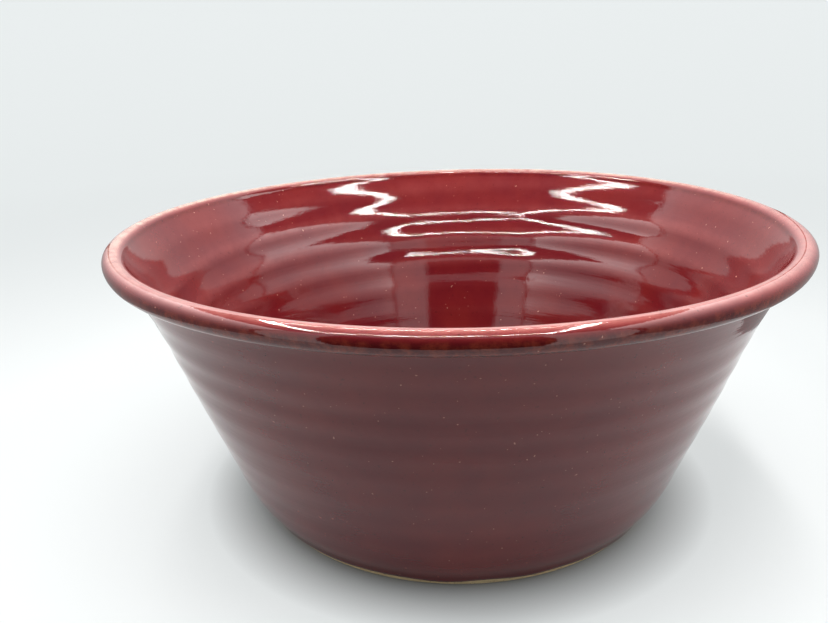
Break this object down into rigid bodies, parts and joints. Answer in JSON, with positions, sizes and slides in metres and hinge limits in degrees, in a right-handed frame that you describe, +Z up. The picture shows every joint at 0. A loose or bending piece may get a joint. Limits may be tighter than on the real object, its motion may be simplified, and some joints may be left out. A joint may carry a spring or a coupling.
{
  "type": "stoneware bowl",
  "caption": "Round wheel-thrown stoneware bowl with flaring sides, a rolled lip, a glossy oxblood glaze inside and out, and a bare clay foot ring that it stands on.",
  "frame": {"origin": "middle of the foot's resting face, on the surface that the bowl stands on", "axes": "+Z up along the axis that the bowl was turned about; X and Y are any two horizontal directions"},
  "size_m": [0.2596, 0.2596, 0.11],
  "materials": {
    "bare_stoneware": "unglazed fired clay, dry and slightly sandy",
    "oxblood_glaze": "glossy deep red glaze that breaks to a pale pink brown where it runs thin"
  },
  "bodies": {
    "root": {"clay_body": "bare_stoneware", "glaze_coat": "oxblood_glaze"}
  },
  "joints": []
}
